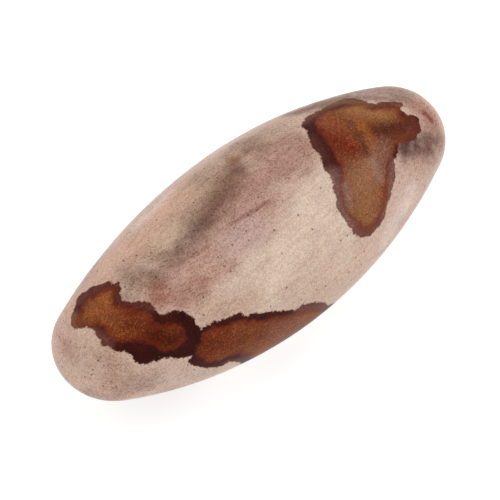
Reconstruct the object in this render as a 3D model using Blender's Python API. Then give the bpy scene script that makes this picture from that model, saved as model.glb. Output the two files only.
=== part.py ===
# Lingam stone: one river-worn cobble of quartz sandstone, rubbed by hand to a long smooth oval.
# Metres, +Z up and +X along the stone. The origin is on the table, under the middle of its box.
# It is one solid, and it lies on a small flat that is worn into its underside.

import math

import bmesh
import bpy
from mathutils import Vector, noise

LENGTH = 0.100  # tip to tip
WIDTH = 0.0395  # side to side, across the middle
HEIGHT = 0.0385  # top to bottom, across the middle, before the flat is worn
TIP_RADIUS = 0.0116  # of the round ends, in plan
BOW = -0.00075  # sideways lean of the middle, along Y
TIP_SKEW = -0.00125  # sideways stray of the +X tip, and the other way of the -X tip
FLAT_DEPTH = 0.0006  # stone worn off the underside
SLIVER = 0.00008  # points this close to the flat's plane are set on it
SWELL = 0.00014  # height of the soft swellings that rubbing by hand leaves
SWELL_SPAN = 0.024  # from one swelling to the next
GRID = 28  # squares along each edge of the box that is puffed out to the stone

STONE_COLOUR = (0.47, 0.35, 0.28, 1.0)
STONE_ROUGHNESS = 0.45


def clear_scene():
    for item in list(bpy.data.objects):
        bpy.data.objects.remove(item)


def half_width(x):
    """The plan outline: a long flank arc that runs smoothly into a round tip arc."""
    middle = WIDTH / 2
    tip_centre = LENGTH / 2 - TIP_RADIUS
    step = middle - TIP_RADIUS
    flank_centre = (tip_centre**2 - step**2) / (2 * step)  # this far beyond the middle line
    flank_radius = middle + flank_centre
    join = flank_radius * tip_centre / math.hypot(tip_centre, flank_centre)
    if abs(x) <= join:
        return math.sqrt(flank_radius**2 - x**2) - flank_centre
    return math.sqrt(max(TIP_RADIUS**2 - (abs(x) - tip_centre) ** 2, 0.0))


def middle_line(x):
    """Y of the stone's own axis, which is bowed in the middle and strays at the tips."""
    along = 2 * x / LENGTH
    return BOW * (1 - along**2) + TIP_SKEW * along**3


def on_stone(box_point):
    """The place on the stone's surface of a point on the box from -1 to 1."""
    # The tangent spreads the box's squares evenly round the stone.
    direction = Vector([math.tan(c * math.pi / 4) for c in box_point]).normalized()
    x = direction.x * LENGTH / 2
    round_section = Vector((direction.y, direction.z)).normalized() * half_width(x)
    place = Vector((x, round_section.x, round_section.y * HEIGHT / WIDTH))
    swelling = 1 + SWELL / (WIDTH / 2) * noise.noise(place / SWELL_SPAN)
    return Vector((x, place.y * swelling + middle_line(x), place.z * swelling))


def wear_flat(form):
    """Cuts the resting flat across the underside and leaves it at z = 0."""
    low = min(vertex.co.z for vertex in form.verts)
    for vertex in form.verts:
        vertex.co.z -= low + FLAT_DEPTH
        if abs(vertex.co.z) < SLIVER:
            vertex.co.z = 0.0
    everything = form.verts[:] + form.edges[:] + form.faces[:]
    bmesh.ops.bisect_plane(
        form, geom=everything, dist=1e-7, plane_co=(0, 0, 0), plane_no=(0, 0, -1), clear_outer=True
    )
    bmesh.ops.edgeloop_fill(form, edges=[edge for edge in form.edges if edge.is_boundary])
    bmesh.ops.recalc_face_normals(form, faces=form.faces[:])


def centre_on_origin(form):
    """Sets the middle of the stone's box over the origin, seen from above."""
    for axis in range(2):
        places = [vertex.co[axis] for vertex in form.verts]
        middle = (min(places) + max(places)) / 2
        for vertex in form.verts:
            vertex.co[axis] -= middle


def stone_mesh():
    form = bmesh.new()
    bmesh.ops.create_cube(form, size=2)
    bmesh.ops.subdivide_edges(form, edges=form.edges[:], cuts=GRID - 1, use_grid_fill=True)
    for vertex in form.verts:
        vertex.co = on_stone(vertex.co)
    wear_flat(form)
    centre_on_origin(form)
    mesh = bpy.data.meshes.new("stone")
    form.to_mesh(mesh)
    form.free()
    mesh.shade_smooth()
    return mesh


def sandstone():
    material = bpy.data.materials.new("rubbed quartz sandstone")
    material.use_nodes = True
    shader = material.node_tree.nodes["Principled BSDF"]
    shader.inputs["Base Color"].default_value = STONE_COLOUR
    shader.inputs["Roughness"].default_value = STONE_ROUGHNESS
    shader.inputs["Metallic"].default_value = 0.0
    material.diffuse_color = STONE_COLOUR
    return material


def make_stone():
    stone = bpy.data.objects.new("stone", stone_mesh())
    stone.data.materials.append(sandstone())
    bpy.context.scene.collection.objects.link(stone)
    return stone


clear_scene()
make_stone()
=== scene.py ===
# A shiva lingam stone: river-worn sandstone with iron stains, rubbed smooth by hand.
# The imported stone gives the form. This script gives it a fine surface, its colours and soft studio light.
import math

import bpy
import numpy as np
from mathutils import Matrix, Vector, noise
from mathutils.bvhtree import BVHTree


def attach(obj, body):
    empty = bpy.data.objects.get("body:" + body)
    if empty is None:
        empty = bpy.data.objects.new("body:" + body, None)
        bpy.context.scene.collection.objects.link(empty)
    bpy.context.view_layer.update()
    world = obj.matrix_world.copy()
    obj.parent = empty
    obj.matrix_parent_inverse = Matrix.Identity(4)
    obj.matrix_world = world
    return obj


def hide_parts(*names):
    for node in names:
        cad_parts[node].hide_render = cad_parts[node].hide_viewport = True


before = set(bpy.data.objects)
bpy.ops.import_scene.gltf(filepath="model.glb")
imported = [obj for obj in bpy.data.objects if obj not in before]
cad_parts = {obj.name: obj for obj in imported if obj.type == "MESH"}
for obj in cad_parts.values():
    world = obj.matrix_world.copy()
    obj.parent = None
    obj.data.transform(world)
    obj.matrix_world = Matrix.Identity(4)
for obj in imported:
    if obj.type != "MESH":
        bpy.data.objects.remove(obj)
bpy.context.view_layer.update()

mm = 0.001


def linear(hexColour, alpha=True):
    # an sRGB hex colour as linear light
    parts = [int(hexColour[k : k + 2], 16) / 255 for k in (1, 3, 5)]
    parts = [c / 12.92 if c <= 0.04045 else ((c + 0.055) / 1.055) ** 2.4 for c in parts]
    return (*parts, 1.0) if alpha else np.array(parts)


def eased(share):
    # 0 to 1, with a soft start and a soft end
    return share * share * (3 - 2 * share)


def layeredNoise(place, layers):
    # several noises added up, each with its span and its height
    return sum(height * noise.noise(Vector(place) / span) for span, height in layers)


def selectOnly(thing):
    bpy.ops.object.select_all(action="DESELECT")
    thing.select_set(True)
    bpy.context.view_layer.objects.active = thing


# Camera. It looks down on the stone from its near end, as the photograph does.
cameraSet = {
    "azimuth": -44.72,  # degrees, 0 looks along +Y
    "elevation": 50.0,
    "distance": 0.6,  # metres to the stone's middle
    "clipStart": 0.01,  # metres
    "middle": (0.0, 0.0, 0.019),  # of the stone
    "middlePixel": (256.4, 239.7),  # where the 500 x 500 photograph shows it
    "pixelSize": 0.20057 * mm,  # of a pixel, at the middle
    "picture": 500,  # pixels
}


def pictureFrame():
    a, e = math.radians(cameraSet["azimuth"]), math.radians(cameraSet["elevation"])
    back = Vector((math.sin(a) * math.cos(e), -math.cos(a) * math.cos(e), math.sin(e)))
    right = Vector((math.cos(a), math.sin(a), 0))
    up = back.cross(right)
    half = cameraSet["picture"] / 2
    x, y = cameraSet["middlePixel"]
    aim = Vector(cameraSet["middle"]) + cameraSet["pixelSize"] * ((half - x) * right + (y - half) * up)
    return back, right, up, aim


def makeCamera():
    back, right, up, aim = pictureFrame()
    bpy.ops.object.camera_add(location=aim + back * cameraSet["distance"])
    camera = bpy.context.object
    camera.name = "photoCamera"
    camera.rotation_euler = (-back).to_track_quat("-Z", "Y").to_euler()
    width = cameraSet["picture"] * cameraSet["pixelSize"]
    camera.data.lens = camera.data.sensor_width * cameraSet["distance"] / width
    camera.data.clip_start = cameraSet["clipStart"]
    bpy.context.scene.camera = camera
    print("camera: lens", round(camera.data.lens), "mm")


makeCamera()

# The stone's fine surface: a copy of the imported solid, smoothed, with the slight unevenness of rubbed rock.
surfaceSet = {
    "weld": 0.001 * mm,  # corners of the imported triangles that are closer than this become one
    "subdivisions": 2,
    "waves": [(9 * mm, 0.05 * mm), (3.5 * mm, 0.02 * mm)],  # span and height
    "flatRim": 0.4 * mm,  # up to this height the waves fade, so that the resting flat stays flat
}


def makeStone():
    stone = bpy.data.objects.new("riverStone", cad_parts["stone"].data.copy())
    bpy.context.scene.collection.objects.link(stone)
    selectOnly(stone)
    bpy.ops.object.mode_set(mode="EDIT")
    bpy.ops.mesh.select_all(action="SELECT")
    bpy.ops.mesh.remove_doubles(threshold=surfaceSet["weld"])
    bpy.ops.mesh.tris_convert_to_quads()
    bpy.ops.object.mode_set(mode="OBJECT")
    smoother = stone.modifiers.new("smooth", "SUBSURF")
    smoother.levels = smoother.render_levels = surfaceSet["subdivisions"]
    bpy.ops.object.modifier_apply(modifier="smooth")
    mesh = stone.data
    places = np.array([vertex.co for vertex in mesh.vertices])
    outward = np.array([vertex.normal for vertex in mesh.vertices])
    lift = np.array([layeredNoise(place, surfaceSet["waves"]) for place in places])
    lift *= np.clip(places[:, 2] / surfaceSet["flatRim"], 0, 1)
    mesh.vertices.foreach_set("co", (places + outward * lift[:, None]).ravel())
    mesh.update()
    bpy.ops.object.shade_smooth()
    print("stone:", len(mesh.polygons), "faces")
    return stone


stone = makeStone()

# Places on the stone. One that is seen is a pixel of the photograph. A hidden one is mm along the stone and
# degrees round it: 0 is the crest, 90 faces the camera's side, 180 is under the stone and -90 is the back.
axisHeight = 18.6 * mm
outside = 50 * mm  # from the axis, further than any of the surface
tree = BVHTree.FromObject(stone, bpy.context.evaluated_depsgraph_get())
points = np.array([vertex.co for vertex in stone.data.vertices])


def seen(x, y):
    back, right, up, aim = pictureFrame()
    half = cameraSet["picture"] / 2
    across, down = x + 0.5 - half, y + 0.5 - half  # from the picture's middle to the pixel's
    eye = aim + back * cameraSet["distance"]
    target = aim + cameraSet["pixelSize"] * (across * right - down * up)
    hit = tree.ray_cast(eye, target - eye)[0]
    if hit is None:  # just off the stone's edge
        hit = tree.find_nearest(target)[0]
    return hit


def placed(along, around):
    turn = math.radians(around)
    middle = Vector((along * mm, 0, axisHeight))
    outward = Vector((0, -math.sin(turn), math.cos(turn)))
    return tree.ray_cast(middle + outward * outside, -outward)[0]


def aroundOf(place):
    return np.degrees(np.arctan2(-place[:, 1], place[:, 2] - axisHeight))


# Small pits and nicks where grains have fallen out. Each is its place, and its radius and depth in mm.
pits = {
    "seen": [
        (263, 317, 0.7, 0.14), (66, 378, 0.9, 0.16), (252, 173, 0.6, 0.06),
        (234, 204, 0.6, 0.06), (292, 173, 0.6, 0.06), (424, 116, 0.8, 0.07),
    ],
    "hidden": [
        (-21, -104, 0.8, 0.12), (30, -76, 0.7, 0.1), (7, -140, 0.9, 0.14),
        (36, 150, 0.7, 0.1), (-33, 138, 0.8, 0.12), (-6, 158, 0.7, 0.08),
    ],
}


def pressPits(points):
    outward = np.array([vertex.normal for vertex in stone.data.vertices])
    every = [(seen, pit) for pit in pits["seen"]] + [(placed, pit) for pit in pits["hidden"]]
    for find, (a, b, radius, depth) in every:
        away = np.linalg.norm(points - np.array(find(a, b)), axis=1) / mm / radius
        points = points - outward * (depth * mm * eased(np.clip(1 - away, 0, 1)))[:, None]
    stone.data.vertices.foreach_set("co", points.ravel())
    stone.data.update()
    print("pits:", len(every))
    return points


points = pressPits(points)


def smoothLine(line, closed, steps=6):
    # a soft curve through the places of a line, with so many steps from each place to the next
    line = np.array([tuple(p) for p in line])
    count = len(line)
    out = []
    for k in range(count if closed else count - 1):
        near = [(k + j) % count if closed else min(max(k + j, 0), count - 1) for j in (-1, 0, 1, 2)]
        a, b, c, d = line[near]
        square, cube = 2 * a - 5 * b + 4 * c - d, 3 * b - a - 3 * c + d
        for t in np.arange(steps) / steps:
            out.append(0.5 * (2 * b + (c - a) * t + square * t**2 + cube * t**3))
    if not closed:
        out.append(line[-1])
    return np.array(out)


def distanceTo(line, closed, reach):
    # mm from every point of the stone to a line on it, and reach where that is further
    found = np.full(len(points), reach)
    low, high = line.min(0) - reach * mm, line.max(0) + reach * mm
    near = np.nonzero(((points > low) & (points < high)).all(1))[0]
    place = points[near]
    best = np.full(len(near), reach)
    ends = np.roll(line, -1, 0) if closed else line[1:]
    for a, b in zip(line, ends):
        d = b - a
        t = np.clip(((place - a) @ d) / max(d @ d, 1e-18), 0, 1)  # a spot is a line of no length
        best = np.minimum(best, np.linalg.norm(place - a - t[:, None] * d, axis=1) / mm)
    found[near] = best
    return found


def insideOf(line):
    # which points lie inside a closed line, on the map of mm along and degrees round
    x, r = line[:, 0] / mm, np.unwrap(aroundOf(line), period=360)
    px, pr = points[:, 0] / mm, aroundOf(points)
    inside = np.zeros(len(points), bool)
    for turn in (-360, 0, 360):  # the line may run over the map's edge
        here = np.zeros(len(points), bool)
        q = pr + turn
        for x0, r0, x1, r1 in zip(x, r, np.roll(x, -1), np.roll(r, -1)):
            if r0 != r1:
                here ^= ((r0 > q) != (r1 > q)) & (px < (x1 - x0) * (q - r0) / (r1 - r0) + x0)
        inside |= here
    return inside


def depthIn(outline, deepest=8.0):
    # mm inside a closed outline, up to the deepest that is told apart, and less than 0 outside it
    line = smoothLine(outline, closed=True)
    away = distanceTo(line, True, deepest)
    return np.where(insideOf(line), away, -away)


# Iron stains. Each has an outline of the whole stain and one of its rust-coloured heart. The rim is between.
# An outline is pixels of the photograph, read off, and then the places that are hidden there.
stains = {
    "bootStain": {
        "edge": [
            (317, 111), (306, 117), (302, 125), (306, 130), (309, 138), (314, 148), (319, 153),
            (321, 158), (325, 169), (331, 176), (333, 186), (336, 197), (337, 208), (344, 218), (351, 228),
            (354, 233), (363, 236), (371, 233), (378, 226), (384, 216), (387, 203), (391, 189), (394, 176),
            (394, 167), (393, 160), (395, 157), (397, 150), (398, 143), (407, 141), (414, 140), (416, 134),
            (420, 130), (419, 123), (416, 116), (409, 115), (404, 113), (400, 109), (402, 105), (400, 102),
            (380, 102), (374, 104), (361, 100), (349, 98), (342, 99), (330, 104),
        ],
        "heart": [
            (316, 120), (320, 130), (327, 141), (334, 151), (336, 157), (339, 164), (340, 175), (341, 188),
            (343, 202), (348, 213), (354, 221), (362, 229), (371, 227), (379, 217), (383, 207), (386, 196),
            (387, 183), (387, 169), (389, 158), (393, 150), (397, 144), (408, 138), (414, 133), (414, 124),
            (408, 119), (399, 115), (396, 107), (380, 107), (369, 108), (359, 104), (348, 105), (338, 108),
            (324, 112),
        ],
    },
    "islandStain": {
        "edge": [
            (71, 322), (72, 314), (75, 305), (78, 296), (84, 292), (92, 287), (100, 284), (109, 282),
            (113, 284), (118, 282), (120, 289), (120, 297), (122, 301), (130, 302), (138, 302), (148, 302),
            (152, 307), (158, 313), (163, 314), (169, 311), (177, 310), (186, 314), (193, 318), (196, 324),
            (200, 330), (202, 340), (192, 354), (187, 356), (177, 357), (170, 356), (163, 358), (152, 360),
            (144, 363), (137, 361), (130, 354), (124, 351), (116, 349), (109, 346), (101, 343), (102, 339),
            (96, 335), (93, 328), (88, 326), (81, 327), (72, 327),
        ],
        "heart": [
            (77, 320), (81, 310), (86, 300), (95, 294), (103, 290), (112, 290), (114, 297), (116, 304),
            (124, 308), (135, 311), (145, 311), (149, 317), (152, 323), (161, 326), (169, 325), (177, 325),
            (182, 328), (185, 334), (182, 341), (176, 347), (166, 350), (157, 346), (146, 341), (132, 340),
            (122, 341), (114, 338), (110, 334), (103, 328), (96, 324), (88, 325), (81, 325),
        ],
    },
    "keelStain": {
        "edge": [
            (229, 361), (221, 365), (208, 367), (196, 365), (188, 361), (192, 355), (186, 346), (190, 336),
            (200, 330), (207, 325), (215, 322), (227, 318), (239, 313), (243, 315), (255, 314), (266, 312),
            (277, 311), (294, 310), (302, 305), (312, 302), (322, 302), (328, 305),
        ],
        "edgeHidden": [(4, 113), (2, 127), (-6, 138), (-14, 134), (-19, 121), (-21, 109)],
        "heart": [
            (236, 353), (222, 359), (208, 360), (199, 356), (196, 351), (201, 340), (207, 331), (217, 328),
            (229, 325), (240, 320), (260, 321), (269, 319), (288, 315), (302, 312), (310, 309),
        ],
        "heartHidden": [(0, 108), (0, 118), (-5, 130), (-12, 127), (-17, 116), (-19, 104)],
    },
    "backStain": {
        "edgeHidden": [
            (-14, -86), (-9, -77), (-3, -74), (2, -79), (7, -76), (12, -70), (18, -74), (23, -80),
            (27, -90), (25, -100), (20, -106), (13, -108), (9, -112), (5, -122), (-1, -128), (-8, -123),
            (-11, -112), (-16, -102),
        ],
        "heartHidden": [
            (-10, -88), (-6, -82), (-1, -81), (4, -85), (9, -82), (13, -77), (18, -80), (22, -89),
            (21, -97), (15, -101), (8, -104), (3, -112), (-2, -119), (-7, -114), (-9, -105), (-12, -98),
        ],
    },
    "bellyStain": {
        "edgeHidden": [
            (-41, 176), (-38, 162), (-32, 154), (-26, 157), (-21, 165), (-15, 168), (-13, 178), (-18, 190),
            (-23, 192), (-27, 203), (-34, 206), (-37, 194),
        ],
        "heartHidden": [
            (-38, 177), (-35, 166), (-31, 161), (-26, 164), (-21, 171), (-17, 174), (-17, 181), (-22, 186),
            (-27, 192), (-32, 198), (-34, 188),
        ],
    },
}


def outlineOf(stain, part):
    return [seen(*p) for p in stain.get(part, [])] + [placed(*p) for p in stain.get(part + "Hidden", [])]


stainDepth = np.max([depthIn(outlineOf(stain, "edge")) for stain in stains.values()], axis=0)
heartDepth = np.max([depthIn(outlineOf(stain, "heart")) for stain in stains.values()], axis=0)
print("stains:", len(stains), "cover", round(100 * (stainDepth > 0).mean()), "% of the points")

# Paint, in soft strokes. Each is a line of places, its reach in mm, a colour, and how strongly it covers.
bodyStrokes = {
    "cream middle": ([(305, 205), (250, 292)], 11, "#d6bfad", 0.9),
    "cream right": ([(332, 200), (338, 250)], 7, "#d4bcac", 0.8),
    "cream far side": ([(402, 190), (365, 250)], 5, "#ccae9f", 0.8),
    "pale edge by the boot": ([(324, 168), (346, 234)], 2.5, "#d2bfae", 0.6),
    "mauve field": ([(288, 150), (262, 180), (232, 208)], 7.5, "#a27b6d", 0.85),
    "rose field": ([(262, 205), (212, 248), (178, 288)], 6, "#b68f80", 0.8),
    "lavender bloom": ([(236, 240), (252, 230)], 5, "#bda099", 0.7),
    "dark band": (
        [(248, 148), (236, 161), (222, 186), (205, 212), (181, 238), (166, 250)], 5, "#7d5a4d", 0.85,
    ),
    "maroon core": ([(236, 168), (226, 184), (216, 204)], 4, "#744c40", 0.4),
    "grey core": ([(202, 221), (190, 234), (177, 247)], 2.4, "#66544a", 0.5),
    "olive field": ([(205, 176), (198, 186), (172, 222), (150, 250)], 5.2, "#aa8f78", 0.8),
    "straw spot": ([(172, 230), (162, 242)], 3, "#d0b6a0", 0.65),
    "peach edge": ([(172, 200), (112, 266), (76, 308)], 6, "#cca693", 0.85),
    "grey by the island": ([(134, 272), (130, 290)], 4, "#8e7363", 0.8),
    "brown by the island": ([(154, 278)], 3, "#7a5444", 0.7),
    "red by the island": ([(158, 297)], 3, "#98604a", 0.7),
    "red in the rose": ([(186, 296), (197, 292)], 3, "#9a6c5d", 0.6),
    "red wisp": ([(205, 280), (233, 265)], 2.2, "#a87c6d", 0.6),
    "red vein": ([(268, 201), (246, 214), (228, 225)], 0.55, "#7c4e46", 0.6),
    "long vein": ([(209, 244), (190, 256), (166, 269)], 0.55, "#7c5246", 0.3),
    "soft streak": ([(312, 254), (284, 296)], 2.4, "#c4a798", 0.45),
    "soft streak below": ([(338, 246), (318, 280)], 2.2, "#c2a496", 0.4),
    "cream by the neck": ([(206, 316), (246, 302)], 5, "#bd9c88", 0.7),
    "tip cream": ([(84, 345), (95, 350)], 5, "#c8ab97", 0.8),
    "tip pink": ([(54, 318), (58, 338)], 4, "#cfa99c", 0.8),
    "tip grey": ([(66, 347), (70, 352)], 3, "#af9083", 0.7),
    "tip tan": ([(110, 364), (116, 380)], 5, "#b18e7b", 0.7),
    "low grey": ([(96, 396), (150, 380)], 4, "#a4877a", 0.7),
    "low pale": ([(166, 377), (214, 372)], 3, "#bca99b", 0.65),
    "crest grey": ([(244, 144), (276, 128)], 4, "#a38878", 0.7),
    "orange hint": ([(231, 158)], 2.4, "#a0703e", 0.6),
    "fair by the tail": ([(290, 123)], 5, "#c0a391", 0.7),
    "pink by the boot": ([(296, 146)], 5, "#ab8779", 0.6),
    "far grey": ([(350, 92), (400, 92)], 5, "#9b7f74", 0.85),
    "tail veil": ([(292, 113), (312, 107), (320, 104)], 3, "#88685a", 0.95),
    "top veil": ([(322, 103), (348, 96)], 3.6, "#886656", 0.85),
    "top veil far": ([(354, 97), (382, 98), (398, 99)], 2.2, "#8c7062", 0.8),
    "far red": ([(422, 110), (430, 118)], 4, "#9e7060", 0.8),
    "far mauve": ([(430, 130)], 4, "#aa8278", 0.7),
    "far smudge skirt": ([(407, 152), (420, 157), (432, 152)], 3.6, "#886258", 0.7),
    "far side mauve": ([(401, 164), (402, 186)], 3, "#b08e84", 0.2),
    "far smudge": ([(402, 146), (415, 146), (426, 146)], 3.2, "#441f1e", 0.9),
    "far smudge tail": ([(425, 145), (440, 140)], 2.6, "#7a544c", 0.8),
    "far pale": ([(420, 172)], 5, "#bf9d8e", 0.7),
    "red nick": ([(424, 113), (431, 120)], 0.9, "#82342a", 0.8),
    "chip": ([(66, 378)], 0.8, "#4c3430", 0.95),
    # painted reflection: a pale band near the stone's outline on the far side, where the surface turns away
    # and mirrors the white surroundings
    "far side painted reflection": ([(413, 190), (402, 211), (386, 238)], 3, "#decbc2", 0.5),
    # painted reflection: a pale band along the upper outline, where the surface turns away and mirrors the
    # white surroundings
    "crest painted reflection": ([(134, 228), (168, 194)], 2, "#e0ccc2", 0.5),
}
hiddenStrokes = {
    "back cream": ([(-22, -60), (14, -64)], 8, "#d0b6a6", 0.7),
    "back mauve": ([(-32, -98), (-22, -118), (24, -140)], 8, "#a88678", 0.8),
    "back band": ([(-30, -140), (0, -160), (28, -172)], 5, "#84604f", 0.7),
    "belly cream": ([(14, 132), (26, 165), (8, 175)], 9, "#d2b9a8", 0.8),
    "belly rose": ([(24, 118), (40, 140)], 6, "#b48c7e", 0.7),
    "belly grey": ([(-36, 132), (-24, 140)], 6, "#a98f83", 0.6),
    "far underside": ([(45, 130), (46, -160)], 6, "#a58074", 0.6),
    "near underside": ([(-47, 150), (-44, -140)], 6, "#b8998a", 0.6),
    "back haze": ([(-34, -70), (-18, -92)], 6, "#9c7d6f", 0.7),
    "back lavender": ([(26, -66), (36, -90)], 6, "#b2958d", 0.7),
    "back peach": ([(32, -112), (10, -134)], 6, "#cba795", 0.7),
}
rustStrokes = {
    "gold": ([(352, 109), (384, 115)], 3.6, "#94623a", 0.9),
    "orange": ([(318, 119), (332, 128)], 4.5, "#7d4226", 0.9),
    "orange freckle": ([(361, 124), (372, 140)], 1.6, "#945420", 0.7),
    "tan": ([(362, 160), (360, 192)], 6, "#926348", 0.9),
    "grey tan": ([(373, 160), (379, 178)], 1.6, "#907260", 0.6),
    "red": ([(330, 140), (344, 150)], 4.5, "#66220a", 0.9),
    "deep red": ([(343, 142), (353, 147)], 3.2, "#661e04", 0.7),
    "low gold": ([(362, 206), (364, 220)], 5, "#8b5b39", 0.9),
    "dark blob": ([(377, 131), (395, 128), (410, 124)], 3, "#481c10", 0.9),
    "dark streak": ([(358, 134), (366, 152)], 1.6, "#481a08", 0.7),
    "dark spot": ([(350, 123)], 1.4, "#5a3020", 0.7),
    "lobe": ([(412, 130)], 2.6, "#62382a", 0.65),
    "right brown": ([(384, 146), (386, 166)], 3, "#795344", 0.75),
    "island gold": ([(80, 317), (86, 308), (108, 298)], 4, "#7b4824", 0.9),
    "island orange": ([(106, 312), (124, 318)], 5, "#864a27", 0.8),
    "island brown": ([(134, 324), (150, 334)], 5, "#5c240c", 0.9),
    "island red": ([(160, 338), (172, 341), (182, 334)], 4, "#400e00", 0.9),
    "left veil": ([(343, 185), (347, 206)], 1.6, "#8f7066", 0.8),
    "keel red": ([(206, 345), (222, 342)], 4.5, "#5c2008", 0.9),
    "keel brown": ([(240, 338), (260, 332)], 4.5, "#683216", 0.9),
    "keel tan": ([(280, 327), (300, 318)], 4.5, "#77452f", 0.9),
}
hiddenRustStrokes = {
    "back gold": ([(12, -82), (21, -91)], 4.5, "#94602f", 0.85),
    "back red": ([(-11, -95), (-4, -102)], 5, "#5c220a", 0.9),
    "back dusk": ([(0, -104), (-2, -112)], 3, "#4c1d0e", 0.7),
    "back tan": ([(-2, -86), (6, -92)], 3, "#8c5c40", 0.6),
    "belly gold": ([(-33, 168), (-28, 172)], 4, "#85501f", 0.8),
    "belly red": ([(-24, 178), (-30, 192)], 4, "#561c08", 0.85),
    "keel foot": ([(-4, 118), (-12, 118)], 5, "#5c220e", 0.8),
}
rimStrokes = {
    "green pit": ([(263, 317)], 0.6, "#12120a", 1.0),
    "boot left veil": ([(333, 177), (336, 192), (343, 214), (352, 228)], 3, "#7e5a52", 0.85),
    "boot foot veil": ([(352, 228), (364, 233), (376, 227)], 2, "#74443a", 0.85),
    # the stain's right rim, greyed and paled by a painted reflection
    "boot right rim with painted reflection": ([(392, 165), (389, 190), (384, 214)], 2, "#86594c", 0.8),
    "boot top veil": ([(312, 113), (328, 105), (342, 101), (362, 103)], 2, "#70442a", 0.95),
    "boot left": ([(311, 138), (322, 156)], 2, "#542c24", 0.7),
    "boot corner": ([(303, 121), (308, 116)], 1.8, "#6a4034", 0.8),
    "boot lobe": ([(400, 142), (416, 138)], 2, "#603428", 0.7),
    "boot lobe edge": ([(400, 106), (410, 118), (420, 130)], 2, "#5e281a", 0.8),
    "boot top edge": ([(366, 104), (384, 103), (399, 104)], 1.8, "#6e402c", 0.9),
    # the island's upper rim, greyed and paled by a painted reflection
    "island top rim with painted reflection": ([(121, 299), (150, 305)], 2, "#5e2e26", 0.8),
    "island low veil": ([(84, 326), (106, 342)], 2, "#683c34", 0.8),
    "island low rim": ([(133, 355), (150, 357), (176, 354), (190, 350)], 3, "#2a0602", 0.8),
    "island far rim": ([(198, 340), (192, 326), (184, 319)], 2.4, "#280804", 0.85),
    "island left": ([(78, 300), (100, 287), (118, 286)], 2, "#6f382e", 0.6),
    "island tip": ([(72, 318), (74, 326)], 2, "#8a5a46", 0.75),
    # the keel's lower rim, paled by a painted reflection of the white floor where it turns away near the
    # outline
    "keel low rim with painted reflection": ([(226, 363), (240, 359), (258, 352)], 1.5, "#70493c", 0.4),
    # the keel's far rim near the outline, greyed by a painted reflection of the white floor
    "keel far rim with painted reflection": ([(300, 308), (326, 304)], 2.4, "#74483e", 0.7),
}
paintSet = {
    "body": ("#c6a999", 1.2),  # the colour under the strokes, and how far their edges waver
    "rust": ("#79401e", 0.5),
    "rim": ("#3c110b", 0.8),
    "fade": 1.3,  # a stroke has faded out at this many times its reach
    "waver": [(5 * mm, 0.4), (1.8 * mm, 0.35)],  # span and height
}
waver = np.array([layeredNoise(place, paintSet["waver"]) for place in points])


def paint(base, loose, strokes, hidden):
    layer = np.tile(linear(base, alpha=False), (len(points), 1))
    every = [(placed, stroke) for stroke in hidden.values()] + [(seen, stroke) for stroke in strokes.values()]
    for find, (line, reach, colour, strength) in every:
        places = [find(*p) for p in line]
        if len(places) == 1:  # a spot
            places *= 2
        faded = reach * paintSet["fade"]
        away = distanceTo(smoothLine(places, closed=False), False, faded) / faded
        cover = strength * eased(np.clip((1 - away) * (1 + loose * waver), 0, 1))[:, None]
        layer = layer * (1 - cover) + linear(colour, alpha=False) * cover
    return layer


def storeNumber(name, values):
    values = values.astype(np.float32)
    stone.data.attributes.new(name, "FLOAT", "POINT").data.foreach_set("value", values)


def storeColour(name, layer):
    rgba = np.ones((len(layer), 4), np.float32)
    rgba[:, :3] = layer
    stone.data.attributes.new(name, "FLOAT_COLOR", "POINT").data.foreach_set("color", rgba.ravel())


storeNumber("stainDepth", stainDepth)
storeNumber("heartDepth", heartDepth)
storeColour("bodyPaint", paint(*paintSet["body"], bodyStrokes, hiddenStrokes))
storeColour("rustPaint", paint(*paintSet["rust"], rustStrokes, hiddenRustStrokes))
storeColour("rimPaint", paint(*paintSet["rim"], rimStrokes, {}))
strokeCount = sum(len(s) for s in (bodyStrokes, hiddenStrokes, rustStrokes, hiddenRustStrokes, rimStrokes))
print("paint:", strokeCount, "strokes")


def addNode(material, kind, inputs=None, **settings):
    node = material.node_tree.nodes.new("ShaderNode" + kind)
    for name, value in settings.items():
        setattr(node, name, value)
    for name, value in (inputs or {}).items():
        if isinstance(value, bpy.types.NodeSocket):
            material.node_tree.links.new(value, node.inputs[name])
        else:
            node.inputs[name].default_value = value
    return node


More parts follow.
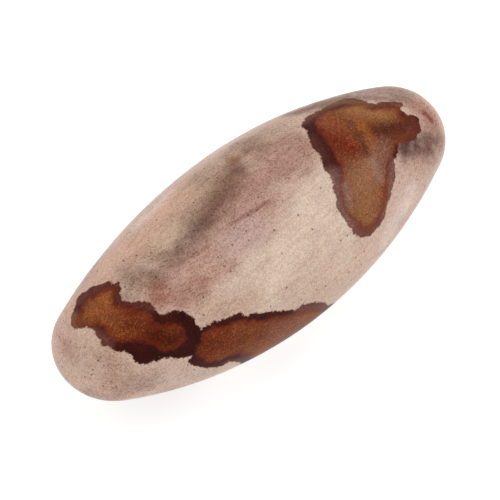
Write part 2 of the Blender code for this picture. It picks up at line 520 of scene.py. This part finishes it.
# Quartz sandstone, tumbled in a river and rubbed by hand with oil: a satin skin over fine sand grains.
holeSpan = 1.7  # mm, and at most one pinhole in each cell of this width
sandstoneSet = {
    "noises": {  # span in mm, detail, roughness, times longer along the stone, and a shift that parts them
        "grain": (0.312, 3, 0.7, 1, 0),
        "streak": (0.9, 3, 0.6, 7, 0),
        "vein": (0.7, 3, 0.6, 12, 0.5),
        "cloud": (4.5, 4, 0.6, 2.2, 0),
        "hue": (0.6, 4, 0.8, 1, 0.9),
        "ragged": (1.3, 3, 0.6, 1, 0.3),
        "fray": (0.45, 2, 0.6, 1, 0.7),
        "heart": (2.2, 4, 0.65, 1, 1.1),
    },
    "cells": {  # span in mm, and which part of a cell's own colour is read
        "sand": (0.24, 0),  # the sand grains
        "hole": (holeSpan, 1),
    },
    "stray": {  # mm that a stain's edge moves between a noise of 0 and one of 1
        "ragged": 1.5,
        "fray": 0.81,
        "heart": 3.3,
    },
    "masks": {  # where each begins and where it is whole
        "stain": (-0.33, 0.05),  # mm inside its edge
        "redRim": (-0.7, 0.3),  # mm inside the heart's edge, where the dark rim turns red-brown
        "rust": (-0.2, 1.5),  # mm, where that turns rust
        "streak": (0.45, 0.7),
        "vein": (0.55, 0.7),
        "hue": (0.35, 0.65),
        "darkRock": (0.5, 0.28),  # brightness of the paint
        "darkSand": (0.4, 0.0),
        "pit": (0.312 / holeSpan, 0.13 / holeSpan),  # mm from its middle
        "holedCells": (0.5, 0.55),  # about half of the cells have a pinhole
    },
    "gains": {  # a pattern, the part of it that counts, and the gain at the two ends of that part
        "bodyCloud": ("cloud", 0.3, 0.7, 0.93, 1.06),
        "bodyGrain": ("grain", 0.3, 0.7, 0.82, 1.18),
        "bodySand": ("sand", 0.0, 1.0, 0.86, 1.14),
        "rustCloud": ("cloud", 0.3, 0.7, 0.9, 1.1),
        "rustGrain": ("grain", 0.3, 0.7, 0.65, 1.35),
        "rustSand": ("sand", 0.0, 1.0, 0.72, 1.28),
        "glint": ("rustLight", 0.03, 0.13, 1.75, 1.0),  # grains glint most where the rust is dark
        "rustGlint": ("sand", 0.7, 0.95, 1.0, "glint"),  # up to the gain of the row above
        "rimGlint": ("sand", 0.75, 0.95, 1.0, 1.4),
        "rimGrain": ("grain", 0.3, 0.7, 0.75, 1.25),
        "rimSand": ("sand", 0.0, 1.0, 0.8, 1.2),
        "roughness": ("grain", 0.3, 0.7, 0.45, 0.57),  # here the value itself
    },
    "cool": (0.98, 1.02, 1.04, 1),  # the two ends of the pale rock's play of hue
    "warm": (1.04, 1.0, 0.96, 1),
    "streakTint": "#f6eeec",
    "veinTint": "#eadbd7",
    "speckTint": "#e0d8d5",
    "redBrown": "#6e220c",
    "redBrownShare": 0.6,
    "rustShare": 0.5,  # of the rust in what lies between the rim and the heart
    "pinholeColour": "#4a3630",
    "pinholeStrength": 0.7,
    "bump": (0.25, 0.03 * mm),  # strength and depth of the open grains
    "ior": 1.54,  # quartz
    "gloss": 0.06,  # specular level, low because open grains break it up
    "bloom": 0.39,  # sheen: the pale look that open grains give where the surface turns away
    "bloomSpread": 0.2,
}


def sandstone():
    material = bpy.data.materials.new("rubbed quartz sandstone")
    material.use_nodes = True
    shader = material.node_tree.nodes["Principled BSDF"]
    given = sandstoneSet
    at = addNode(material, "TexCoord").outputs["Object"]

    # what is stored on the stone's points
    stored = {}
    for name in ("stainDepth", "heartDepth", "bodyPaint", "rustPaint", "rimPaint"):
        output = "Fac" if name.endswith("Depth") else "Color"
        stored[name] = addNode(material, "Attribute", attribute_name=name).outputs[output]

    # patterns
    patterns = {"rustLight": addNode(material, "RGBToBW", {"Color": stored["rustPaint"]}).outputs[0]}
    for name, (span, detail, rough, along, shift) in given["noises"].items():
        mapping = {"Vector": at, "Location": (shift, shift, 0), "Scale": (1 / along, 1, 1)}
        where = addNode(material, "Mapping", mapping).outputs[0]
        shape = {"Vector": where, "Scale": 1 / (span * mm), "Detail": detail, "Roughness": rough}
        patterns[name] = addNode(material, "TexNoise", shape).outputs["Fac"]
    for name, (span, part) in given["cells"].items():
        cells = addNode(material, "TexVoronoi", {"Vector": at, "Scale": 1 / (span * mm)})
        patterns[name] = addNode(material, "SeparateColor", {"Color": cells.outputs["Color"]}).outputs[part]
        patterns[name + "Middle"] = cells.outputs["Distance"]

    def strayed(depth, name):
        # a stain's edge, moved in and out by a noise
        centred = addNode(material, "Math", {0: patterns[name], 1: 0.5}, operation="SUBTRACT").outputs[0]
        inputs = {0: centred, 1: given["stray"][name], 2: depth}
        return addNode(material, "Math", inputs, operation="MULTIPLY_ADD").outputs[0]

    edge = strayed(strayed(stored["stainDepth"], "ragged"), "fray")
    heartEdge = strayed(strayed(stored["heartDepth"], "heart"), "fray")

    # masks and gains
    sources = {
        "stain": edge,
        "redRim": heartEdge,
        "rust": heartEdge,
        "streak": patterns["streak"],
        "vein": patterns["vein"],
        "hue": patterns["hue"],
        "darkRock": addNode(material, "RGBToBW", {"Color": stored["bodyPaint"]}).outputs[0],
        "darkSand": patterns["sand"],
        "pit": patterns["holeMiddle"],
        "holedCells": patterns["hole"],
    }
    masks = {}
    for name, (begins, whole) in given["masks"].items():
        inputs = {"Value": sources[name], "From Min": begins, "From Max": whole}
        masks[name] = addNode(material, "MapRange", inputs, interpolation_type="SMOOTHSTEP").outputs["Result"]
    for name, a, b in (
        ("darkVein", masks["vein"], masks["darkRock"]),
        ("speck", masks["darkSand"], masks["darkRock"]),
        ("everyPinhole", masks["pit"], masks["holedCells"]),
    ):
        masks[name] = addNode(material, "Math", {0: a, 1: b}, operation="MULTIPLY").outputs[0]
    softened = {0: masks["everyPinhole"], 1: given["pinholeStrength"]}
    pinhole = addNode(material, "Math", softened, operation="MULTIPLY").outputs[0]
    gains = {}
    for name, (pattern, low, high, atLow, atHigh) in given["gains"].items():
        inputs = {"Value": patterns[pattern], "From Min": low, "From Max": high, "To Min": atLow}
        inputs["To Max"] = gains.get(atHigh, atHigh)
        gains[name] = addNode(material, "MapRange", inputs).outputs["Result"]

    def layered(colour, layers, kind):
        # each layer is how much of it, and its colour or gain
        for amount, layer in layers:
            inputs = {0: amount, 6: colour, 7: layer}
            colour = addNode(material, "Mix", inputs, data_type="RGBA", blend_type=kind).outputs[2]
        return colour

    # pale rock, the rust in a stain and the dark rim round that
    body = layered(stored["bodyPaint"], [
        (1.0, gains["bodyCloud"]),
        (masks["streak"], linear(given["streakTint"])),
        (masks["darkVein"], linear(given["veinTint"])),
        (1.0, layered(given["cool"], [(masks["hue"], given["warm"])], "MIX")),
        (1.0, gains["bodyGrain"]),
        (1.0, gains["bodySand"]),
        (masks["speck"], linear(given["speckTint"])),
    ], "MULTIPLY")
    rustGains = [(1.0, gains[name]) for name in ("rustGrain", "rustSand", "rustCloud", "rustGlint")]
    rust = layered(stored["rustPaint"], rustGains, "MULTIPLY")
    rimGains = [(1.0, gains[name]) for name in ("rimGlint", "rimGrain", "rimSand")]
    rim = layered(stored["rimPaint"], rimGains, "MULTIPLY")
    between = [(given["rustShare"], rust), (given["redBrownShare"], linear(given["redBrown"]))]
    red = layered(rim, between, "MIX")
    stain = layered(rim, [(masks["redRim"], red), (masks["rust"], rust)], "MIX")
    colour = layered(body, [(masks["stain"], stain), (pinhole, linear(given["pinholeColour"]))], "MIX")

    # open grains
    height = addNode(material, "Math", {0: patterns["grain"], 1: pinhole}, operation="SUBTRACT").outputs[0]
    strength, depth = given["bump"]
    bump = addNode(material, "Bump", {"Height": height, "Strength": strength, "Distance": depth}).outputs[0]

    for name, socket in (("Base Color", colour), ("Roughness", gains["roughness"]), ("Normal", bump)):
        material.node_tree.links.new(socket, shader.inputs[name])
    shader.inputs["IOR"].default_value = given["ior"]
    shader.inputs["Specular IOR Level"].default_value = given["gloss"]
    shader.inputs["Sheen Weight"].default_value = given["bloom"]
    shader.inputs["Sheen Roughness"].default_value = given["bloomSpread"]
    return material


stone.data.materials.clear()
stone.data.materials.append(sandstone())
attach(stone, "root")
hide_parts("stone")
print("material: sandstone")

# Studio: a white floor, white surroundings and one broad lamp above.
studioSet = {
    "white": (1, 1, 1, 1),
    "floorSize": 4.0,  # metres
    "floorColour": "#b6bcbc",
    "floorGlow": 0.72,  # light of the paper's own, so that shadows stay faint and the rest is pure white
    "surround": 0.81,  # brightness of the white surroundings
    "lampPlace": (0.3, -0.05, 0.9),
    "lampSize": 0.6,
    "lampWatts": 2.2,
}


def makeFloor():
    bpy.ops.object.select_all(action="DESELECT")
    bpy.ops.mesh.primitive_plane_add(size=studioSet["floorSize"])
    floor = bpy.context.object
    floor.name = "floor"
    paper = bpy.data.materials.new("matt white paper")
    paper.use_nodes = True
    sheet = paper.node_tree.nodes["Principled BSDF"]
    sheet.inputs["Base Color"].default_value = linear(studioSet["floorColour"])
    sheet.inputs["Roughness"].default_value = 1.0
    sheet.inputs["Specular IOR Level"].default_value = 0.0
    sheet.inputs["Emission Color"].default_value = studioSet["white"]
    sheet.inputs["Emission Strength"].default_value = studioSet["floorGlow"]
    floor.data.materials.append(paper)


def makeLight():
    world = bpy.data.worlds.new("white surroundings")
    world.use_nodes = True
    surround = world.node_tree.nodes["Background"]
    surround.inputs["Color"].default_value = studioSet["white"]
    surround.inputs["Strength"].default_value = studioSet["surround"]
    bpy.context.scene.world = world
    bpy.ops.object.light_add(type="AREA", location=studioSet["lampPlace"])
    lamp = bpy.context.object
    lamp.name = "softLamp"
    lamp.data.size = studioSet["lampSize"]
    lamp.data.energy = studioSet["lampWatts"]
    lamp.rotation_euler = (-Vector(studioSet["lampPlace"])).to_track_quat("-Z", "Y").to_euler()


makeFloor()
makeLight()
bpy.context.scene.view_settings.view_transform = "Standard"
print("studio: floor, surroundings and lamp")
